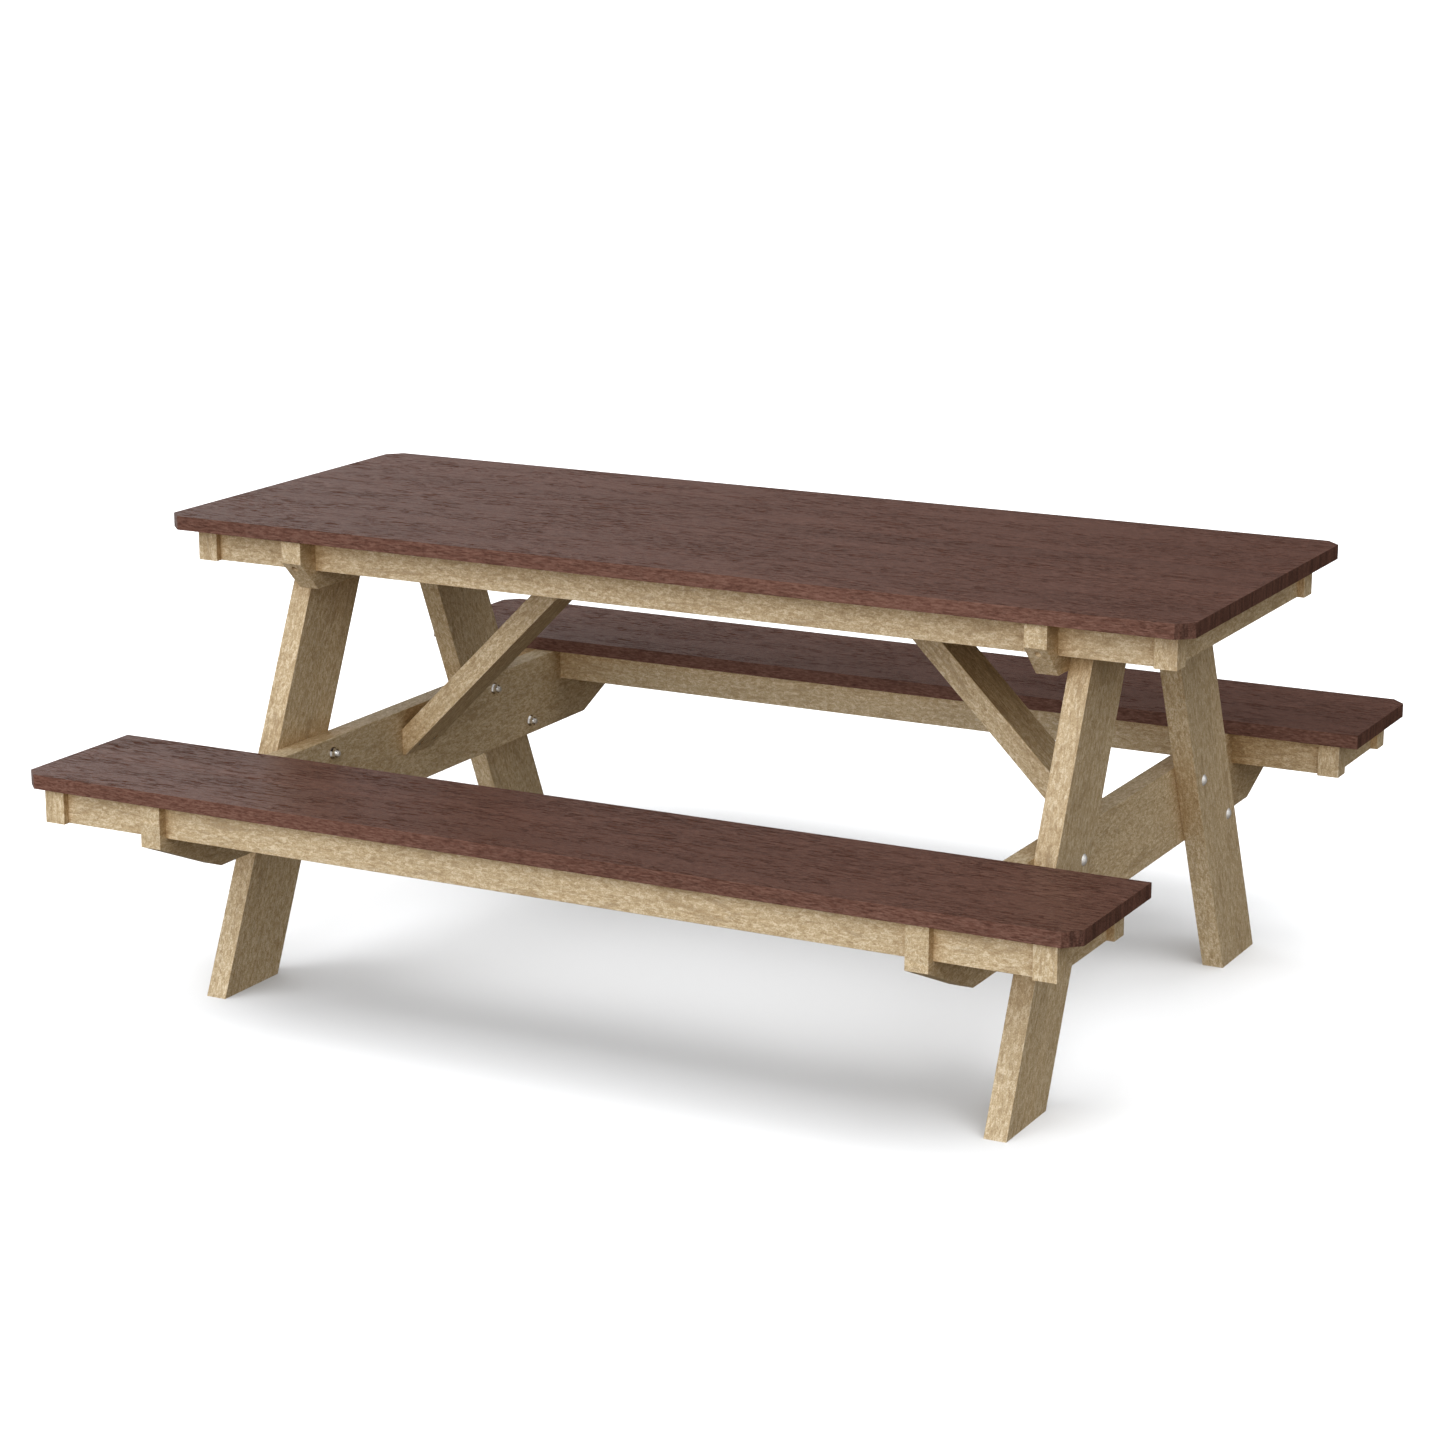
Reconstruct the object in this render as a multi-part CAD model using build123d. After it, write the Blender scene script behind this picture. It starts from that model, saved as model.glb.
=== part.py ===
from build123d import *
import math
import os

# Millimetres, +Z up. X runs along the table, -Y is the front bench, +Y the rear bench.
# The origin is on the ground at the middle of the table.

# Overall sizes
table_height = 762.0
table_length = 1820.0
overall_width = 1508.0
seat_height = 410.2

# Deck boards of the top and of the seats
board_width = 139.4
board_thickness = 23.5
board_gap = 0.4
board_edge_radius = 0.6
corner_clip = 24.5
top_board_count = 5
seat_board_count = 2

# Frame lumber
lumber_thickness = 37.0
wide_lumber = 139.0
narrow_lumber = 89.0
lumber_edge_radius = 1.2

# Rails and corner blocks that stiffen the top and the seats
rail_height = 57.0
rail_thickness = 19.0
rail_recess = 11.5
block_end_inset = 34.8
top_block_side_inset = 43.6
seat_block_side_inset = 13.7

# A-frames
leg_end_inset = 190.0
foot_setback = 290.6
cleat_end_inset = 11.0
cleat_chamfer = 50.0
beam_end_inset = 9.0
beam_bevel_run = 160.0
beam_bevel_rise = 67.5

# Braces at 45 degrees, from the seat beams up to a batten under the top
brace_toe_rise = 54.3
brace_toe_trim = 6.0
brace_head_bite = 22.5

# Carriage bolts with their washers and nuts
bolt_diameter = 9.5
bolt_clearance = 0.6
bolt_head_diameter = 19.5
bolt_head_height = 4.9
bolt_neck_depth = 5.0
bolt_neck_clearance = 0.3
bolt_thread_end = 4.5
bolt_tip_chamfer = 1.0
bolt_edge_drop = 25.5
bolt_edge_side = 32.6
washer_diameter = 21.0
washer_thickness = 1.6
nut_across_flats = 14.3
nut_height = 8.3
nut_bore_clearance = 0.1

# Screws that come up from below, with their heads sunk in counterbores
screw_diameter = 4.2
screw_clearance = 0.2
screw_head_diameter = 8.4
screw_head_height = 2.6
screw_head_round = 0.8
screw_tip_length = 3.0
screw_tip_diameter = 1.2
screw_cover = 7.5
counterbore_diameter = 10.0
counterbore_run_out = 1.0
deck_screw_length = 50.0
beam_screw_length = 75.0
brace_screw_length = 45.0
brace_screw_end_cover = 11.1
brace_screw_sink = 5.5
brace_screw_spacing = 47.0
screw_edge_distance = 21.7
screw_bolt_spacing = 12.0
rail_screw_pitch = 452.0

# Heights and half sizes that follow from the sizes above
top_underside = table_height - board_thickness
seat_underside = seat_height - board_thickness
half_length = table_length / 2
half_width = overall_width / 2
board_pitch = board_width + board_gap
top_half_width = (top_board_count * board_pitch - board_gap) / 2
seat_width = seat_board_count * board_pitch - board_gap
seat_inner_edge = half_width - seat_width

# Stations along the table, for the right-hand end
leg_outer_x = half_length - leg_end_inset
frame_joint_x = leg_outer_x - lumber_thickness
beam_inner_x = frame_joint_x - lumber_thickness
beam_middle_x = (beam_inner_x + frame_joint_x) / 2
block_outer_x = half_length - block_end_inset
block_inner_x = block_outer_x - lumber_thickness
end_rail_outer_x = block_outer_x - rail_recess
end_rail_inner_x = end_rail_outer_x - rail_thickness
end_rail_middle_x = (end_rail_inner_x + end_rail_outer_x) / 2
block_middle_x = (block_inner_x + block_outer_x) / 2

# Stations across the table
top_block_outer = top_half_width - top_block_side_inset
top_block_inner = top_block_outer - lumber_thickness
top_rail_outer = top_block_outer - rail_recess
top_rail_inner = top_rail_outer - rail_thickness
seat_block_outer = half_width - seat_block_side_inset
seat_block_inner = seat_inner_edge + seat_block_side_inset
foot_middle = half_width - foot_setback
leg_head_middle = top_rail_inner / 2
cleat_half_length = top_half_width - cleat_end_inset
beam_half_length = half_width - beam_end_inset

# Leg lean: how far a leg moves out for each unit of drop
leg_slope = (foot_middle - leg_head_middle) / top_underside
leg_half_span = wide_lumber * math.hypot(1, leg_slope) / 2

# Heights of the cross members
cleat_bottom = top_underside - narrow_lumber
beam_bottom = seat_underside - wide_lumber
top_rail_bottom = top_underside - rail_height
seat_rail_bottom = seat_underside - rail_height

# Brace lines: |x| + z is constant along each long face
brace_low_line = beam_inner_x + beam_bottom + brace_toe_rise
brace_high_line = brace_low_line + lumber_thickness * math.sqrt(2)
brace_toe = beam_bottom + brace_toe_rise + brace_toe_trim
brace_plumb_x = brace_low_line - top_underside + brace_head_bite
batten_middle_x = brace_plumb_x - lumber_thickness / 2

# Screw stations
screw_bite = board_thickness - screw_cover
deck_screw_grip = deck_screw_length - screw_bite
beam_screw_grip = beam_screw_length - screw_bite
brace_foot_bearing_x = frame_joint_x - brace_screw_end_cover - brace_screw_length
brace_foot_screw_z = brace_low_line - brace_foot_bearing_x + brace_screw_sink
brace_head_bearing_z = top_underside + screw_bite - brace_screw_length
brace_head_screw_x = brace_low_line - brace_head_bearing_z + brace_screw_sink
bolt_length = 2 * lumber_thickness + washer_thickness + nut_height + bolt_thread_end

sides = {"left": -1, "right": 1}
benches = {"front": -1, "rear": 1}


def bar(x_ends, y_ends, z_ends):
    """A square-edged bar between two X, two Y and two Z planes."""
    low = [min(ends) for ends in (x_ends, y_ends, z_ends)]
    high = [max(ends) for ends in (x_ends, y_ends, z_ends)]
    size = [b - a for a, b in zip(low, high)]
    middle = [(a + b) / 2 for a, b in zip(low, high)]
    return Pos(*middle) * Box(*size)


def ease(piece, least_length, radius):
    """Round the long edges of a piece."""
    long_edges = piece.edges().filter_by(lambda edge: edge.length > least_length)
    return fillet(long_edges, radius)


def prism(points, direction, depth):
    """A flat outline drawn out along one direction."""
    outline = make_face(Polyline(*points, close=True))
    return extrude(outline, amount=depth, dir=direction)


def drill(piece, tools):
    """Cut from a piece each bore whose box meets the piece's box."""
    box = piece.bounding_box()
    near = []
    for tool in tools:
        other = tool.bounding_box()
        clear = (
            other.min.X > box.max.X
            or other.max.X < box.min.X
            or other.min.Y > box.max.Y
            or other.max.Y < box.min.Y
            or other.min.Z > box.max.Z
            or other.max.Z < box.min.Z
        )
        if not clear:
            near.append(tool)
    if near:
        piece = piece - near
    return piece


# ---------------------------------------------------------------- screws and bolts


def screw(length):
    """A pan-head screw pointing up, with the seat of its head at Z = 0."""
    radius = screw_diameter / 2
    straight = length - screw_tip_length
    shank = Pos(0, 0, straight / 2) * Cylinder(radius, straight)
    tip = Pos(0, 0, straight + screw_tip_length / 2) * Cone(radius, screw_tip_diameter / 2, screw_tip_length)
    head = Pos(0, 0, -screw_head_height / 2) * Cylinder(screw_head_diameter / 2, screw_head_height)
    head = fillet(head.edges().group_by(Axis.Z)[0], screw_head_round)
    return head + shank + tip


def screw_bore(length, depth):
    """The counterbore below a screw's seat and the hole around its shank."""
    radius = (screw_diameter + screw_clearance) / 2
    hole = Pos(0, 0, length / 2) * Cylinder(radius, length)
    counterbore = Pos(0, 0, -depth / 2) * Cylinder(counterbore_diameter / 2, depth)
    return hole + counterbore


def carriage_bolt():
    """A domed bolt pointing down, with its head resting on Z = 0."""
    reach = bolt_head_diameter / 2
    ball = (reach * reach + bolt_head_height * bolt_head_height) / (2 * bolt_head_height)
    dome = split(Pos(0, 0, bolt_head_height - ball) * Sphere(ball), bisect_by=Plane.XY, keep=Keep.TOP)
    neck = Pos(0, 0, -bolt_neck_depth / 2) * Box(bolt_diameter, bolt_diameter, bolt_neck_depth)
    shank = Pos(0, 0, -bolt_length / 2) * Cylinder(bolt_diameter / 2, bolt_length)
    shank = chamfer(shank.edges().group_by(Axis.Z)[0], bolt_tip_chamfer)
    return dome + neck + shank


def washer():
    """A flat washer standing on Z = 0."""
    bore = (bolt_diameter + bolt_clearance) / 2
    disc = Cylinder(washer_diameter / 2, washer_thickness) - Cylinder(bore, washer_thickness)
    return Pos(0, 0, washer_thickness / 2) * disc


def nut():
    """A hexagon nut standing on Z = 0, with its upper corners turned off."""
    hexagon = extrude(RegularPolygon(nut_across_flats / 2, 6, major_radius=False), nut_height)
    corner = nut_across_flats / math.sqrt(3)
    turned = Pos(0, 0, nut_height / 2) * Cylinder(corner, nut_height)
    turned = chamfer(turned.edges().group_by(Axis.Z)[-1], corner - nut_across_flats / 2)
    bore = Pos(0, 0, nut_height / 2) * Cylinder((bolt_diameter + nut_bore_clearance) / 2, nut_height)
    return (hexagon & turned) - bore


def leg_middle(height):
    """Distance of a leg's middle line from the table's middle at one height."""
    return foot_middle - leg_slope * height


def bolt_stations():
    """The bolts of one leg, as (distance from the middle, height)."""
    stations = []
    for bottom, top in ((beam_bottom, seat_underside), (cleat_bottom, top_underside)):
        high = top - bolt_edge_drop
        low = bottom + bolt_edge_drop
        stations.append((leg_middle(high) - leg_half_span + bolt_edge_side, high))
        stations.append((leg_middle(low) + leg_half_span - bolt_edge_side, low))
    return stations


def bolt_places():
    """A place for every bolt, with the local +Z pointing out through the leg."""
    places = []
    for side in sides.values():
        for bench in benches.values():
            for across, height in bolt_stations():
                places.append(Pos(side * leg_outer_x, bench * across, height) * Rot(0, side * 90, 0))
    return places


def bolt_bores():
    """The hole and the square neck pocket of every bolt."""
    hole = Cylinder((bolt_diameter + bolt_clearance) / 2, 2 * bolt_length)
    width = bolt_diameter + bolt_neck_clearance
    depth = bolt_neck_depth + bolt_neck_clearance
    pocket = Pos(0, 0, -depth / 2) * Box(width, width, depth)
    tool = hole + pocket
    return [place * tool for place in bolt_places()]


def bolts():
    return Compound([place * carriage_bolt() for place in bolt_places()])


def washers():
    seat = Pos(0, 0, -2 * lumber_thickness - washer_thickness)
    return Compound([place * seat * washer() for place in bolt_places()])


def nuts():
    seat = Pos(0, 0, -2 * lumber_thickness - washer_thickness) * Rot(180, 0, 0)
    return Compound([place * seat * nut() for place in bolt_places()])


# ---------------------------------------------------------------- screw patterns


def board_middles(count, low_edge):
    """The middle line of each board in a deck that starts at one edge."""
    return [low_edge + board_width / 2 + index * board_pitch for index in range(count)]


def pair_stations(middles, low, high):
    """A pair of screws in each board, kept where a cross member lies between two limits."""
    margin = counterbore_diameter
    reach = board_width / 2 - screw_edge_distance
    stations = [middle + half * reach for middle in middles for half in (-1, 1)]
    return [station for station in stations if low + margin < station < high - margin]


def clear_of_bolts(stations):
    """Screw stations along a cleat, moved aside where they would come too near a bolt."""
    moved = []
    for station in stations:
        for across, height in bolt_stations():
            over = abs(station) - across
            if height > cleat_bottom and abs(over) < screw_bolt_spacing:
                station = math.copysign(across + math.copysign(screw_bolt_spacing, over), station)
        moved.append(station)
    return moved


def rail_screw_xs():
    """The screws along a side rail: one in each short end and three in the long middle."""
    short = (frame_joint_x + block_inner_x) / 2
    return [-short, -rail_screw_pitch, 0, rail_screw_pitch, short]


def top_screw_points():
    middles = board_middles(top_board_count, -top_half_width)
    points = []
    for side in sides.values():
        for y in pair_stations(middles, -top_block_inner, top_block_inner):
            points.append((side * end_rail_middle_x, y))
        for y in pair_stations(middles, -top_rail_inner, top_rail_inner):
            points.append((side * batten_middle_x, y))
        for y in clear_of_bolts(pair_stations(middles, -cleat_half_length, cleat_half_length)):
            points.append((side * beam_middle_x, y))
        for bench in benches.values():
            points.append((side * block_middle_x, bench * (top_block_inner + top_block_outer) / 2))
    for bench in benches.values():
        for x in rail_screw_xs():
            points.append((x, bench * (top_rail_inner + top_rail_outer) / 2))
    return points


def seat_limits(bench):
    """The low and high block faces across one seat, and the low and high rails' inner faces."""
    blocks = sorted((bench * seat_block_inner, bench * seat_block_outer))
    inset = rail_recess + rail_thickness
    return blocks, (blocks[0] + inset, blocks[1] - inset)


def seat_middles(bench):
    low_edge = min(bench * seat_inner_edge, bench * half_width)
    return board_middles(seat_board_count, low_edge)


def seat_screw_points(bench):
    blocks, rails = seat_limits(bench)
    middles = seat_middles(bench)
    points = []
    for side in sides.values():
        for y in pair_stations(middles, blocks[0] + lumber_thickness, blocks[1] - lumber_thickness):
            points.append((side * end_rail_middle_x, y))
        for y in (blocks[0] + lumber_thickness / 2, blocks[1] - lumber_thickness / 2):
            points.append((side * block_middle_x, y))
    for y in pair_stations(middles, *rails):
        points.append((0, y))
    for y in (rails[0] - rail_thickness / 2, rails[1] + rail_thickness / 2):
        for x in rail_screw_xs():
            points.append((x, y))
    return points


def beam_screw_points(bench):
    ends = sorted((bench * seat_inner_edge, bench * beam_half_length))
    return [(side * beam_middle_x, y) for side in sides.values() for y in pair_stations(seat_middles(bench), *ends)]


def upright(points, seat_z, shape):
    """Copies of a vertical shape at each plan point."""
    return [Pos(x, y, seat_z) * shape for x, y in points]


def brace_places():
    """A place for each brace screw: two level ones at the foot, two upright ones at the head."""
    places = []
    for side in sides.values():
        for half in (-1, 1):
            y = half * brace_screw_spacing / 2
            places.append(Pos(side * brace_foot_bearing_x, y, brace_foot_screw_z) * Rot(0, side * 90, 0))
            places.append(Pos(side * brace_head_screw_x, y, brace_head_bearing_z))
    return places


def brace_bores():
    depth = brace_screw_sink + counterbore_diameter
    return [place * screw_bore(brace_screw_length, depth) for place in brace_places()]


def top_bores():
    """Every bore that reaches the underside of the top."""
    depth = narrow_lumber - deck_screw_grip + counterbore_run_out
    seat_z = top_underside - deck_screw_grip
    return upright(top_screw_points(), seat_z, screw_bore(deck_screw_length, depth)) + brace_bores()


def seat_bores(bench):
    """Every bore that reaches the underside of one seat."""
    rail_depth = rail_height - deck_screw_grip + counterbore_run_out
    beam_depth = wide_lumber - beam_screw_grip + counterbore_run_out
    rail_tool = screw_bore(deck_screw_length, rail_depth)
    beam_tool = screw_bore(beam_screw_length, beam_depth)
    rail_bores = upright(seat_screw_points(bench), seat_underside - deck_screw_grip, rail_tool)
    beam_bores = upright(beam_screw_points(bench), seat_underside - beam_screw_grip, beam_tool)
    return rail_bores + beam_bores


# ---------------------------------------------------------------- boards


def deck_board(low_y, high_y, bottom, clip_low, clip_high):
    """One board along the table, with its corners clipped where it is an outer board."""
    points = []
    for x_side, y, clipped in ((-1, low_y, clip_low), (1, low_y, clip_low), (1, high_y, clip_high), (-1, high_y, clip_high)):
        inward = 1 if y == low_y else -1
        end = (x_side * half_length, y + inward * corner_clip * clipped)
        edge = (x_side * (half_length - corner_clip * clipped), y)
        pair = [end, edge] if x_side == inward * -1 else [edge, end]
        points += pair if clipped else pair[:1]
    outline = [(x, y, bottom) for x, y in points]
    board = prism(outline, (0, 0, 1), board_thickness)
    return ease(board, half_length, board_edge_radius)


def top_boards(bores):
    boards = {}
    for index in range(top_board_count):
        low = -top_half_width + index * board_pitch
        first = index == 0
        last = index == top_board_count - 1
        board = deck_board(low, low + board_width, top_underside, first, last)
        boards[f"top_board_{index + 1}"] = drill(board, bores)
    return boards


def seat_boards(bench_name, bores):
    bench = benches[bench_name]
    boards = {}
    names = ("inner", "outer")
    for index in range(seat_board_count):
        near = seat_inner_edge + index * board_pitch
        far = near + board_width
        outer = index == seat_board_count - 1
        low, high = sorted((bench * near, bench * far))
        board = deck_board(low, high, seat_underside, outer and bench < 0, outer and bench > 0)
        boards[f"{bench_name}_seat_board_{names[index]}"] = drill(board, bores)
    return boards


# ---------------------------------------------------------------- rails and blocks


def side_rails(prefix, y_ends, bottom, bores):
    """One rail line along the table, in three lengths between the blocks and the cross members."""
    spans = {
        "left": (-block_inner_x, -frame_joint_x),
        "middle": (-beam_inner_x, beam_inner_x),
        "right": (frame_joint_x, block_inner_x),
    }
    rails = {}
    for name, x_ends in spans.items():
        rail = bar(x_ends, y_ends, (bottom, bottom + rail_height))
        rail = ease(rail, (x_ends[1] - x_ends[0]) / 2, lumber_edge_radius)
        rails[f"{prefix}_{name}"] = drill(rail, bores)
    return rails


def end_rails(prefix, y_ends, bottom, bores):
    """The two rails across the ends, between the corner blocks."""
    rails = {}
    for name, side in sides.items():
        x_ends = (side * end_rail_inner_x, side * end_rail_outer_x)
        rail = bar(x_ends, y_ends, (bottom, bottom + rail_height))
        rail = ease(rail, (y_ends[1] - y_ends[0]) / 2, lumber_edge_radius)
        rails[f"{prefix}_{name}"] = drill(rail, bores)
    return rails


def corner_blocks(y_pairs, bottom, bores):
    blocks = []
    for side in sides.values():
        for y_ends in y_pairs:
            x_ends = (side * block_inner_x, side * block_outer_x)
            block = bar(x_ends, y_ends, (bottom, bottom + rail_height))
            block = fillet(block.edges().filter_by(Axis.Z), lumber_edge_radius)
            blocks.append(drill(block, bores))
    return Compound(blocks)


def top_frame(bores):
    nodes = {}
    for name, bench in benches.items():
        y_ends = (bench * top_rail_inner, bench * top_rail_outer)
        nodes |= side_rails(f"top_side_rail_{name}", y_ends, top_rail_bottom, bores)
    nodes |= end_rails("top_end_rail", (-top_block_inner, top_block_inner), top_rail_bottom, bores)
    y_pairs = [(bench * top_block_inner, bench * top_block_outer) for bench in benches.values()]
    nodes["top_corner_blocks"] = corner_blocks(y_pairs, top_rail_bottom, bores)
    return nodes


def seat_frame(bench_name, bores):
    bench = benches[bench_name]
    blocks, rails = seat_limits(bench)
    prefix = f"{bench_name}_seat"
    nodes = {}
    for name, low in (("inner", bench > 0), ("outer", bench < 0)):
        y_ends = (rails[0] - rail_thickness, rails[0]) if low else (rails[1], rails[1] + rail_thickness)
        nodes |= side_rails(f"{prefix}_rail_{name}", y_ends, seat_rail_bottom, bores)
    y_ends = (blocks[0] + lumber_thickness, blocks[1] - lumber_thickness)
    nodes |= end_rails(f"{prefix}_end_rail", y_ends, seat_rail_bottom, bores)
    y_pairs = [(blocks[0], blocks[0] + lumber_thickness), (blocks[1] - lumber_thickness, blocks[1])]
    nodes[f"{prefix}_corner_blocks"] = corner_blocks(y_pairs, seat_rail_bottom, bores)
    batten = bar((-lumber_thickness / 2, lumber_thickness / 2), rails, (seat_rail_bottom, seat_underside))
    batten = ease(batten, (rails[1] - rails[0]) / 2, lumber_edge_radius)
    nodes[f"{prefix}_batten"] = drill(batten, bores)
    return nodes


def brace_battens(bores):
    nodes = {}
    for name, side in sides.items():
        x_ends = (side * (brace_plumb_x - lumber_thickness), side * brace_plumb_x)
        batten = bar(x_ends, (-top_rail_inner, top_rail_inner), (top_rail_bottom, top_underside))
        batten = ease(batten, top_rail_inner, lumber_edge_radius)
        nodes[f"brace_batten_{name}"] = drill(batten, bores)
    return nodes


# ---------------------------------------------------------------- A-frames


def leg(side, bench, bores):
    """A leaning leg, cut level on the ground and under the top."""
    outline = []
    for height, ends in ((0, (-1, 1)), (top_underside, (1, -1))):
        for end in ends:
            outline.append((leg_middle(height) + end * leg_half_span, height))
    x_start = side * frame_joint_x
    points = [(x_start, bench * across, height) for across, height in outline]
    blank = prism(points, (side, 0, 0), lumber_thickness)
    return drill(ease(blank, top_underside, lumber_edge_radius), bores)


def legs(bores):
    nodes = {}
    for bench_name, bench in benches.items():
        for side_name, side in sides.items():
            nodes[f"leg_{bench_name}_{side_name}"] = leg(side, bench, bores)
    return nodes


def cross_member(side, half, bottom, top, bevel_run, bevel_rise, bores):
    """A member across the table with both lower corners bevelled."""
    outline = [
        (-half, top),
        (-half, bottom + bevel_rise),
        (bevel_run - half, bottom),
        (half - bevel_run, bottom),
        (half, bottom + bevel_rise),
        (half, top),
    ]
    points = [(side * beam_inner_x, across, height) for across, height in outline]
    blank = prism(points, (side, 0, 0), lumber_thickness)
    return drill(ease(blank, half, lumber_edge_radius), bores)


def cleats(bores):
    nodes = {}
    for name, side in sides.items():
        sizes = (cleat_half_length, cleat_bottom, top_underside, cleat_chamfer, cleat_chamfer)
        nodes[f"top_cleat_{name}"] = cross_member(side, *sizes, bores)
    return nodes


def beams(bores):
    nodes = {}
    for name, side in sides.items():
        sizes = (beam_half_length, beam_bottom, seat_underside, beam_bevel_run, beam_bevel_rise)
        nodes[f"seat_beam_{name}"] = cross_member(side, *sizes, bores)
    return nodes


def braces(bores):
    """Braces laid flat, with a plumb cut on the beam and a level and a plumb cut at the head."""
    outline = [
        (beam_inner_x, brace_toe),
        (brace_low_line - brace_toe, brace_toe),
        (brace_plumb_x, brace_low_line - brace_plumb_x),
        (brace_plumb_x, top_underside),
        (brace_high_line - top_underside, top_underside),
        (beam_inner_x, brace_high_line - beam_inner_x),
    ]
    nodes = {}
    for name, side in sides.items():
        points = [(side * x, -narrow_lumber / 2, z) for x, z in outline]
        blank = prism(points, (0, 1, 0), narrow_lumber)
        blank = ease(blank, 2 * narrow_lumber, lumber_edge_radius)
        nodes[f"brace_{name}"] = drill(blank, bores)
    return nodes


# ---------------------------------------------------------------- assembly


def fasteners():
    nodes = {}
    deck_screw = screw(deck_screw_length)
    top_seat = top_underside - deck_screw_grip
    nodes["top_deck_screws"] = Compound(upright(top_screw_points(), top_seat, deck_screw))
    beam_screws = []
    for name, bench in benches.items():
        seat = seat_underside - deck_screw_grip
        nodes[f"{name}_seat_deck_screws"] = Compound(upright(seat_screw_points(bench), seat, deck_screw))
        seat = seat_underside - beam_screw_grip
        beam_screws += upright(beam_screw_points(bench), seat, screw(beam_screw_length))
    nodes["seat_beam_screws"] = Compound(beam_screws)
    nodes["brace_screws"] = Compound([place * screw(brace_screw_length) for place in brace_places()])
    nodes["carriage_bolts"] = bolts()
    nodes["bolt_washers"] = washers()
    nodes["bolt_nuts"] = nuts()
    return nodes


def picnic_table():
    upper = top_bores()
    front = seat_bores(benches["front"])
    rear = seat_bores(benches["rear"])
    through = bolt_bores()
    nodes = top_boards(upper)
    nodes |= top_frame(upper)
    nodes |= brace_battens(upper)
    nodes |= cleats(upper + through)
    nodes |= braces(brace_bores())
    nodes |= legs(through)
    nodes |= beams(front + rear + through + brace_bores())
    nodes |= seat_boards("front", front)
    nodes |= seat_frame("front", front)
    nodes |= seat_boards("rear", rear)
    nodes |= seat_frame("rear", rear)
    nodes |= fasteners()
    return nodes


os.makedirs("parts", exist_ok=True)
for node_name, shape in picnic_table().items():
    export_step(shape, f"parts/{node_name}.step")
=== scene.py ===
import math
import random

import bpy
from mathutils import Matrix, Vector


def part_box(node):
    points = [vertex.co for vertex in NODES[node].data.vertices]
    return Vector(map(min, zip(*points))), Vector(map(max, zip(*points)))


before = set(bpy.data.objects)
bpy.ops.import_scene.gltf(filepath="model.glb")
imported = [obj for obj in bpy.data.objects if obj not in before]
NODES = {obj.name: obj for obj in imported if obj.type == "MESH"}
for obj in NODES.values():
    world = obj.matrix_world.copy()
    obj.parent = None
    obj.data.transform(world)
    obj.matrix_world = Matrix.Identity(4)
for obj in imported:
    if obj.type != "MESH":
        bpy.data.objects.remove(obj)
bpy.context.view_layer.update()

rng = random.Random(11)

# ------------------------------------------------------------------ node helpers


class NodeTree:
    """A node tree, with short calls for the nodes that the materials and the studio light share."""

    def __init__(self, tree):
        self.tree = tree

    def node(self, kind, **values):
        made = self.tree.nodes.new(kind)
        for key, value in values.items():
            setattr(made, key, value)
        return made

    def link(self, source, target):
        self.tree.links.new(source, target)

    def feed(self, socket, value):
        if isinstance(value, bpy.types.NodeSocket):
            self.link(value, socket)
        else:
            socket.default_value = value

    def math(self, operation, a, b=0.0, clamp=False):
        made = self.node("ShaderNodeMath", operation=operation, use_clamp=clamp)
        self.feed(made.inputs[0], a)
        self.feed(made.inputs[1], b)
        return made.outputs[0]

    def vector_math(self, operation, a, b):
        made = self.node("ShaderNodeVectorMath", operation=operation)
        self.feed(made.inputs[0], a)
        self.feed(made.inputs[3 if operation == "SCALE" else 1], b)
        return made.outputs["Value" if operation == "DOT_PRODUCT" else "Vector"]

    def vector(self, numbers):
        made = self.node("ShaderNodeCombineXYZ")
        for socket, number in zip(made.inputs, numbers):
            socket.default_value = number
        return made.outputs[0]


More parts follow.
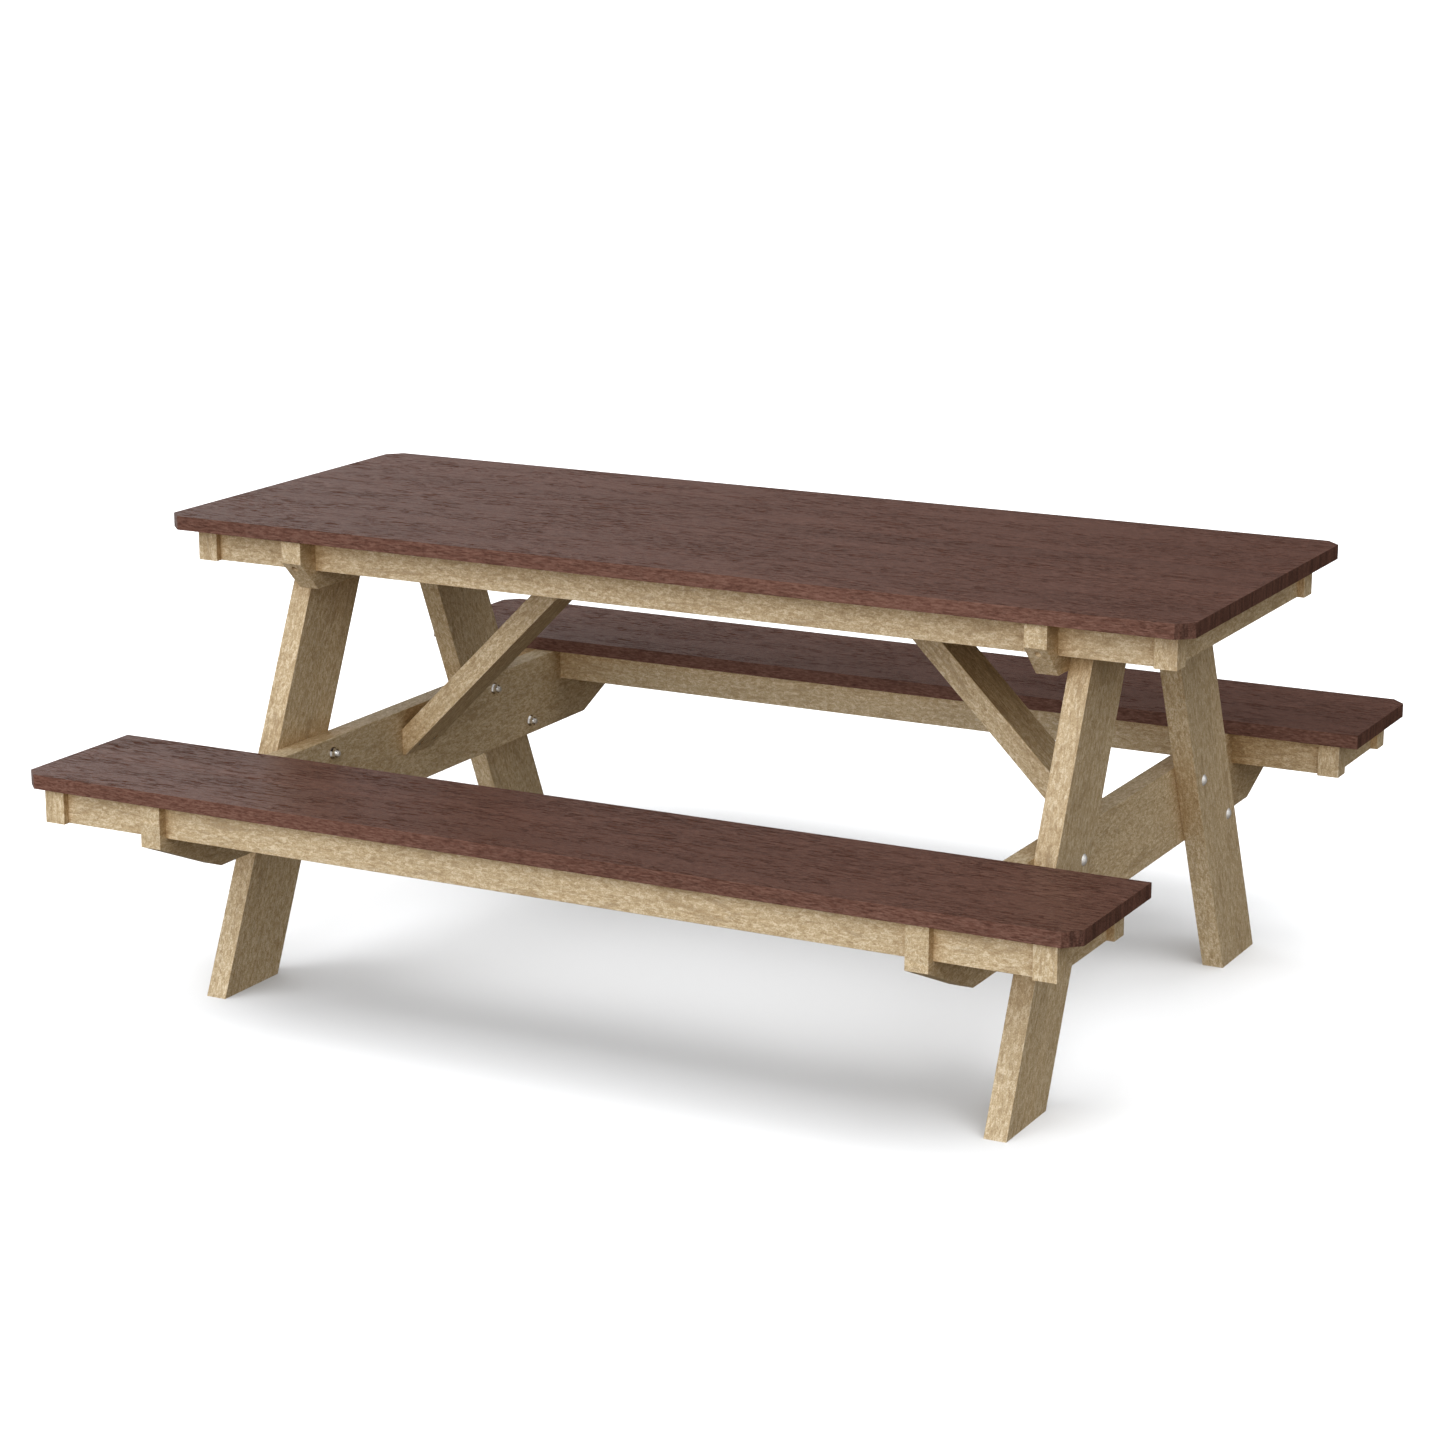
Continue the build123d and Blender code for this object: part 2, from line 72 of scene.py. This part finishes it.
class Shader(NodeTree):
    """A material's node tree, with the patterns and masks that the materials are made of."""

    def __init__(self, name):
        self.material = bpy.data.materials.new(name)
        self.material.use_nodes = True
        super().__init__(self.material.node_tree)
        self.surface = self.tree.nodes["Principled BSDF"]

    def set(self, name, value):
        self.feed(self.surface.inputs[name], value)

    def place(self, direction, shift):
        """Object coordinates turned so that local X runs along a member."""
        along = Vector(direction).normalized()
        helper = Vector((0, 1, 0)) if abs(along.y) < 0.6 else Vector((0, 0, 1))
        side = along.cross(helper).normalized()
        turn = Matrix((along, side.cross(along).normalized(), side)).transposed()
        mapping = self.node("ShaderNodeMapping", vector_type="TEXTURE")
        self.link(self.node("ShaderNodeTexCoord").outputs["Object"], mapping.inputs["Vector"])
        mapping.inputs["Rotation"].default_value = turn.to_euler()
        mapping.inputs["Location"].default_value = shift
        return mapping.outputs["Vector"]

    def noise(self, at, along, across, depth=None, detail=3.0, rough=0.55, distort=0.0):
        """Noise with a number of features per metre along a member and on its two other axes."""
        made = self.node("ShaderNodeTexNoise")
        scale = (along, across, across if depth is None else depth)
        self.link(self.vector_math("MULTIPLY", at, scale), made.inputs["Vector"])
        made.inputs["Scale"].default_value = 1.0
        made.inputs["Detail"].default_value = detail
        made.inputs["Roughness"].default_value = rough
        made.inputs["Distortion"].default_value = distort
        return made.outputs["Fac"]

    def band(self, value, low, high, to=(0.0, 1.0), interpolation="SMOOTHSTEP"):
        """The range low to high eased onto the range to, and held at its ends outside."""
        made = self.node("ShaderNodeMapRange", interpolation_type=interpolation)
        self.feed(made.inputs["Value"], value)
        for key, number in zip(("From Min", "From Max", "To Min", "To Max"), (low, high, *to)):
            made.inputs[key].default_value = number
        return made.outputs["Result"]

    def ramp(self, value, low, high, to):
        """A band in a straight line."""
        return self.band(value, low, high, to, "LINEAR")

    def product(self, a, b):
        return self.math("MULTIPLY", a, b)

    def total(self, *terms):
        """The sum of (weight, value) pairs."""
        (weight, value), *others = terms
        result = self.product(value, weight)
        for weight, value in others:
            result = self.math("ADD", result, self.product(value, weight))
        return result

    def mix(self, factor, a, b, blend="MIX"):
        made = self.node("ShaderNodeMix", data_type="RGBA", blend_type=blend)
        self.feed(made.inputs["Factor"], factor)
        for socket, value in ((made.inputs[6], a), (made.inputs[7], b)):
            self.feed(socket, value if isinstance(value, bpy.types.NodeSocket) else (*value, 1.0))
        return made.outputs[2]

    def shade(self, colour, factor):
        """A colour made darker or lighter by a number."""
        grey = self.node("ShaderNodeCombineColor")
        for socket in grey.inputs:
            self.link(factor, socket)
        return self.mix(1.0, colour, grey.outputs[0], "MULTIPLY")

    def bump(self, height, distance):
        made = self.node("ShaderNodeBump")
        made.inputs["Distance"].default_value = distance
        self.link(height, made.inputs["Height"])
        self.set("Normal", made.outputs["Normal"])

    def facing(self, direction, low, high, to=(0.0, 1.0)):
        """How squarely a face looks along a direction or against it."""
        normal = self.node("ShaderNodeTexCoord").outputs["Normal"]
        dot = self.vector_math("DOT_PRODUCT", normal, Vector(direction).normalized())
        return self.band(self.math("ABSOLUTE", dot), low, high, to)

    def end_mask(self, direction):
        """1 on a member's sawn ends and clipped corners, 0 on its long faces."""
        return self.facing(direction, 0.62, 0.68)

    def flat_mask(self):
        """1 on a board's upper and lower faces, less on its edges."""
        return self.facing((0, 0, 1), 0.30, 0.70, to=(0.30, 1.0))

    def painted_corner_shade(self, distance):
        """Painted shade mask from ambient occlusion: 1 deep in a joint or corner, 0 on open faces."""
        hidden = self.node("ShaderNodeAmbientOcclusion", samples=6)
        hidden.inputs["Distance"].default_value = distance
        return self.band(hidden.outputs["AO"], 0.30, 0.90, to=(1.0, 0.0))


def offset():
    """A random shift, so that no two members show the same stretch of a pattern."""
    return tuple(rng.uniform(-9.0, 9.0) for _ in range(3))


# ------------------------------------------------------------------ materials

BROWN = (0.109, 0.048, 0.034)
BROWN_DARK = (0.043, 0.018, 0.012)
BROWN_LIGHT = (0.170, 0.088, 0.066)
BOARD_RELIEF = 0.0013
BOARD_GLOSS = 0.085
FLECK_COLOUR = 0.13

TAN = (0.455, 0.343, 0.198)
TAN_LIGHT = (0.645, 0.540, 0.378)
TAN_DARK = (0.230, 0.142, 0.060)
# Painted shade in joints and corners: the colour it multiplies the lumber by, and how far it reaches in
# metres.
PAINTED_SHADE_TONE = (0.80, 0.65, 0.46)
PAINTED_SHADE_REACH = 0.30
LUMBER_RELIEF = 0.0009
STAIN_COLOUR = 0.50

BOLT_FINISH = {"colour": (0.93, 0.93, 0.93), "worn": (0.80, 0.80, 0.79), "roughness": 0.12, "metallic": 0.55}
NUT_FINISH = {"colour": (0.93, 0.93, 0.93), "worn": (0.78, 0.78, 0.77), "roughness": 0.10, "metallic": 1.0}
SCREW_FINISH = {"colour": (0.42, 0.40, 0.36), "worn": (0.26, 0.24, 0.21), "roughness": 0.40, "metallic": 1.0}
STEEL_RELIEF = 0.00005

FLOOR_COOL = (0.592, 0.598, 0.606)
FLOOR_PALE = (0.598, 0.604, 0.612)

# The length of a leg's level cut at the foot, in metres.
LEG_CUT = 0.1518


def board_material(name):
    """Brown recycled-plastic deck board: pressed grain, fine streaks and short dark flecks."""
    s = Shader(name)
    along = (1, 0, 0)
    at = s.place(along, offset())
    slow = s.noise(at, 1.1, 8.0, detail=2.0)
    streak = s.noise(at, 85.0, 420.0, detail=4.0, rough=0.64)
    fine = s.noise(at, 260.0, 560.0, rough=0.65)
    cluster = s.noise(at, 6.0, 19.0, detail=2.0, rough=0.5, distort=0.4)
    fleck = s.band(s.noise(at, 32.0, 230.0, detail=5.0, rough=0.70, distort=0.6), 0.525, 0.580)
    fleck = s.product(fleck, s.band(cluster, 0.38, 0.55, to=(0.25, 1.0)))
    fleck = s.product(fleck, s.flat_mask())
    end = s.end_mask(along)
    kerf = s.noise(at, 3.0, 150.0, 14.0, rough=0.6)

    colour = s.mix(s.band(streak, 0.40, 0.68), BROWN, BROWN_LIGHT)
    colour = s.mix(s.band(streak, 0.47, 0.30, to=(0.0, 0.45)), colour, BROWN_DARK)
    colour = s.shade(colour, s.ramp(slow, 0.30, 0.70, to=(0.90, 1.10)))
    colour = s.shade(colour, s.ramp(fine, 0.25, 0.75, to=(0.78, 1.22)))
    colour = s.mix(s.product(fleck, FLECK_COLOUR), colour, BROWN_DARK)
    sawn = s.shade(colour, s.ramp(kerf, 0.36, 0.62, to=(0.46, 0.94)))
    s.set("Base Color", s.mix(end, colour, sawn))

    rough = s.math("ADD", s.ramp(streak, 0.25, 0.75, to=(0.34, 0.44)), s.product(fleck, 0.30))
    s.set("Roughness", s.math("ADD", rough, s.product(end, 0.22), clamp=True))
    s.bump(s.total((0.55, streak), (-0.95, fleck), (0.22, fine), (1.2, s.product(kerf, end))), BOARD_RELIEF)
    gloss = s.ramp(fleck, 0.0, 1.0, to=(BOARD_GLOSS, 0.0))
    s.set("Specular IOR Level", s.product(gloss, s.ramp(fine, 0.25, 0.75, to=(0.55, 1.45))))
    return s.material


def frame_material(name, along):
    """Tan recycled-plastic lumber: curly mottle, fine speckle and browner streaks along the member, with
    painted warm shade in joints and corners.
    """
    s = Shader(name)
    at = s.place(along, offset())
    slow = s.noise(at, 1.6, 6.0, detail=2.0)
    mottle = s.noise(at, 90.0, 210.0, detail=4.0, rough=0.62, distort=0.8)
    fine = s.noise(at, 420.0, 640.0, rough=0.65)
    fibre = s.noise(at, 22.0, 460.0, rough=0.6)
    stain = s.band(s.noise(at, 11.0, 52.0, detail=5.0, rough=0.68, distort=1.2), 0.54, 0.64)
    stain = s.product(stain, s.band(mottle, 0.35, 0.62, to=(0.45, 1.0)))
    end = s.end_mask(along)
    kerf = s.noise(at, 2.0, 120.0, 16.0, rough=0.6)
    grain = s.total((0.55, mottle), (0.45, fine))

    colour = s.mix(s.band(grain, 0.48, 0.60), TAN, TAN_LIGHT)
    colour = s.mix(s.band(grain, 0.48, 0.38, to=(0.0, 0.60)), colour, TAN_DARK)
    colour = s.mix(s.product(stain, STAIN_COLOUR), colour, TAN_DARK)
    colour = s.shade(colour, s.ramp(fibre, 0.25, 0.75, to=(0.90, 1.10)))
    colour = s.shade(colour, s.ramp(slow, 0.30, 0.70, to=(0.92, 1.08)))
    sawn = s.shade(colour, s.ramp(kerf, 0.30, 0.70, to=(0.86, 1.06)))
    colour = s.mix(end, colour, sawn)
    # Painted shade: a warmer, darker colour mixed in where occlusion is high, in joints and corners.
    painted_shade = s.mix(1.0, colour, PAINTED_SHADE_TONE, "MULTIPLY")
    s.set("Base Color", s.mix(s.painted_corner_shade(PAINTED_SHADE_REACH), colour, painted_shade))

    rough = s.ramp(grain, 0.30, 0.70, to=(0.66, 0.52))
    s.set("Roughness", s.math("ADD", rough, s.product(end, 0.10), clamp=True))
    s.bump(s.total((0.8, grain), (0.35, fibre), (-0.25, stain)), LUMBER_RELIEF)
    s.set("Specular IOR Level", 0.5)
    return s.material


def steel_material(name, colour, worn, roughness, metallic):
    """Fastener steel with fine turning marks and dull spots."""
    s = Shader(name)
    at = s.place((1, 0, 0), offset())
    spot = s.noise(at, 260.0, 260.0, rough=0.6)
    turned = s.noise(at, 2600.0, 300.0, detail=2.0, rough=0.5)
    shade = s.mix(s.band(spot, 0.45, 0.68), colour, worn)
    s.set("Base Color", s.shade(shade, s.ramp(turned, 0.3, 0.7, to=(0.92, 1.05))))
    s.set("Metallic", metallic)
    s.set("Roughness", s.ramp(spot, 0.3, 0.75, to=(roughness, roughness + 0.16)))
    s.bump(s.total((0.6, turned), (0.6, spot)), STEEL_RELIEF)
    return s.material


def floor_material():
    """Pale matt studio floor, very slightly uneven."""
    s = Shader("studio_floor")
    soft = s.noise(s.place((1, 0, 0), (0, 0, 0)), 0.8, 0.8, detail=2.0)
    matt = s.node("ShaderNodeBsdfDiffuse")
    s.link(s.mix(soft, FLOOR_COOL, FLOOR_PALE), matt.inputs["Color"])
    s.link(matt.outputs[0], s.tree.nodes["Material Output"].inputs["Surface"])
    s.tree.nodes.remove(s.surface)
    return s.material


def along_of(node):
    """The direction of a frame member's length."""
    low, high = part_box(node)
    size = high - low
    if node.startswith("leg_"):
        bench = 1 if low.y + high.y > 0 else -1
        return (0, -bench * (size.y - LEG_CUT), size.z)
    if node in ("brace_left", "brace_right"):
        end = 1 if low.x + high.x > 0 else -1
        return (-end, 0, 1)
    if node.endswith("corner_blocks"):
        return (0, 0, 1)
    return (1, 0, 0) if size.x > size.y else (0, 1, 0)


def material_for(node):
    if "_board_" in node:
        return board_material(f"deck_{node}")
    if node == "carriage_bolts":
        return steel_material(f"steel_{node}", **BOLT_FINISH)
    if node in ("bolt_washers", "bolt_nuts"):
        return steel_material(f"steel_{node}", **NUT_FINISH)
    if node.endswith("_screws"):
        return steel_material(f"steel_{node}", **SCREW_FINISH)
    return frame_material(f"lumber_{node}", along_of(node))


for node in sorted(NODES):
    slots = NODES[node].data.materials
    slots.clear()
    slots.append(material_for(node))

# ------------------------------------------------------------------ floor, light, camera

FLOOR_SIZE = 160.0

# Each lobe of the studio dome: where it shines from, how narrow it is, its strength and its colour.
LOBES = (
    ((0.0, -0.92, 0.38), 6.0, 4.35, (1.0, 1.0, 1.0)),
    ((0.0, 0.0, 1.0), 4.0, 0.76, (1.0, 1.0, 1.0)),
    ((0.86, -0.20, 0.46), 3.0, 0.98, (1.0, 0.98, 0.94)),
    ((-0.90, 0.42, 0.10), 10.0, 3.60, (1.0, 1.0, 1.0)),
)
SKY_EVEN = (0.025, 0.025, 0.025)
SKY_LOW = (0.060, 0.035, 0.013)

# Each lamp on the floor: its name, where it shines from, its strength and its angle in degrees.
FLOOR_LIGHTS = (
    ("floor_front_left", (-0.60, -0.50, 1.0), 2.4, 46.0),
    ("floor_front_right", (0.60, -0.50, 1.0), 2.4, 46.0),
    ("floor_back", (0.0, 0.58, 1.0), 2.6, 60.0),
)

CAMERA_PLACE = (2.6038, -4.9987, 1.8625)
CAMERA_TURN = (math.radians(75.76), 0.0, math.radians(27.85))
CAMERA_LENS = 86.86


def studio_floor():
    """A floor that only the camera sees, so it gives the table no shadow and no bounced light."""
    bpy.ops.mesh.primitive_grid_add(x_subdivisions=4, y_subdivisions=4, size=FLOOR_SIZE)
    floor = bpy.context.active_object
    floor.name = "studio_floor"
    floor.data.materials.append(floor_material())
    floor.visible_diffuse = False
    floor.visible_glossy = False
    floor.visible_shadow = False
    return floor


def sky():
    """A studio dome: bright in front, softer overhead, dim behind and below; white to the camera."""
    world = bpy.data.worlds.new("studio")
    bpy.context.scene.world = world
    world.use_nodes = True
    s = NodeTree(world.node_tree)
    s.tree.nodes.clear()

    direction = s.node("ShaderNodeTexCoord").outputs["Generated"]
    height = s.vector_math("DOT_PRODUCT", direction, (0.0, 0.0, 1.0))
    above = s.math("GREATER_THAN", height, 0.0)
    below = s.math("SUBTRACT", 1.0, above)
    low = s.vector_math("SCALE", s.vector(SKY_LOW), below)
    total = s.vector_math("ADD", low, s.vector_math("SCALE", s.vector(SKY_EVEN), above))
    for axis, power, strength, colour in LOBES:
        facing = s.vector_math("DOT_PRODUCT", direction, Vector(axis).normalized())
        lobe = s.math("POWER", s.math("MAXIMUM", facing, 0.0), power)
        tint = s.vector([part * strength for part in colour])
        total = s.vector_math("ADD", total, s.vector_math("SCALE", tint, lobe))

    dome = s.node("ShaderNodeBackground")
    s.link(total, dome.inputs["Color"])
    white = s.node("ShaderNodeBackground")
    white.inputs["Color"].default_value = (1.0, 1.0, 1.0, 1.0)
    mixed = s.node("ShaderNodeMixShader")
    s.link(s.node("ShaderNodeLightPath").outputs["Is Camera Ray"], mixed.inputs["Fac"])
    s.link(dome.outputs[0], mixed.inputs[1])
    s.link(white.outputs[0], mixed.inputs[2])
    s.link(mixed.outputs[0], s.node("ShaderNodeOutputWorld").inputs["Surface"])


def floor_light(name, direction, strength, spread, receivers):
    """A soft light that falls only on the studio floor."""
    data = bpy.data.lights.new(name, "SUN")
    data.energy = strength
    data.angle = math.radians(spread)
    lamp = bpy.data.objects.new(name, data)
    lamp.rotation_euler = Vector(direction).to_track_quat("Z", "Y").to_euler()
    bpy.context.scene.collection.objects.link(lamp)
    lamp.light_linking.receiver_collection = receivers


floor = studio_floor()
floor_only = bpy.data.collections.new("floor_only")
floor_only.objects.link(floor)
for light in FLOOR_LIGHTS:
    floor_light(*light, floor_only)
sky()

camera_data = bpy.data.cameras.new("camera")
camera_data.lens = CAMERA_LENS
camera_data.sensor_width = 36.0
camera_data.clip_end = 400.0
camera = bpy.data.objects.new("camera", camera_data)
camera.location = CAMERA_PLACE
camera.rotation_euler = CAMERA_TURN
bpy.context.scene.collection.objects.link(camera)
bpy.context.scene.camera = camera
bpy.context.scene.view_settings.view_transform = "Standard"
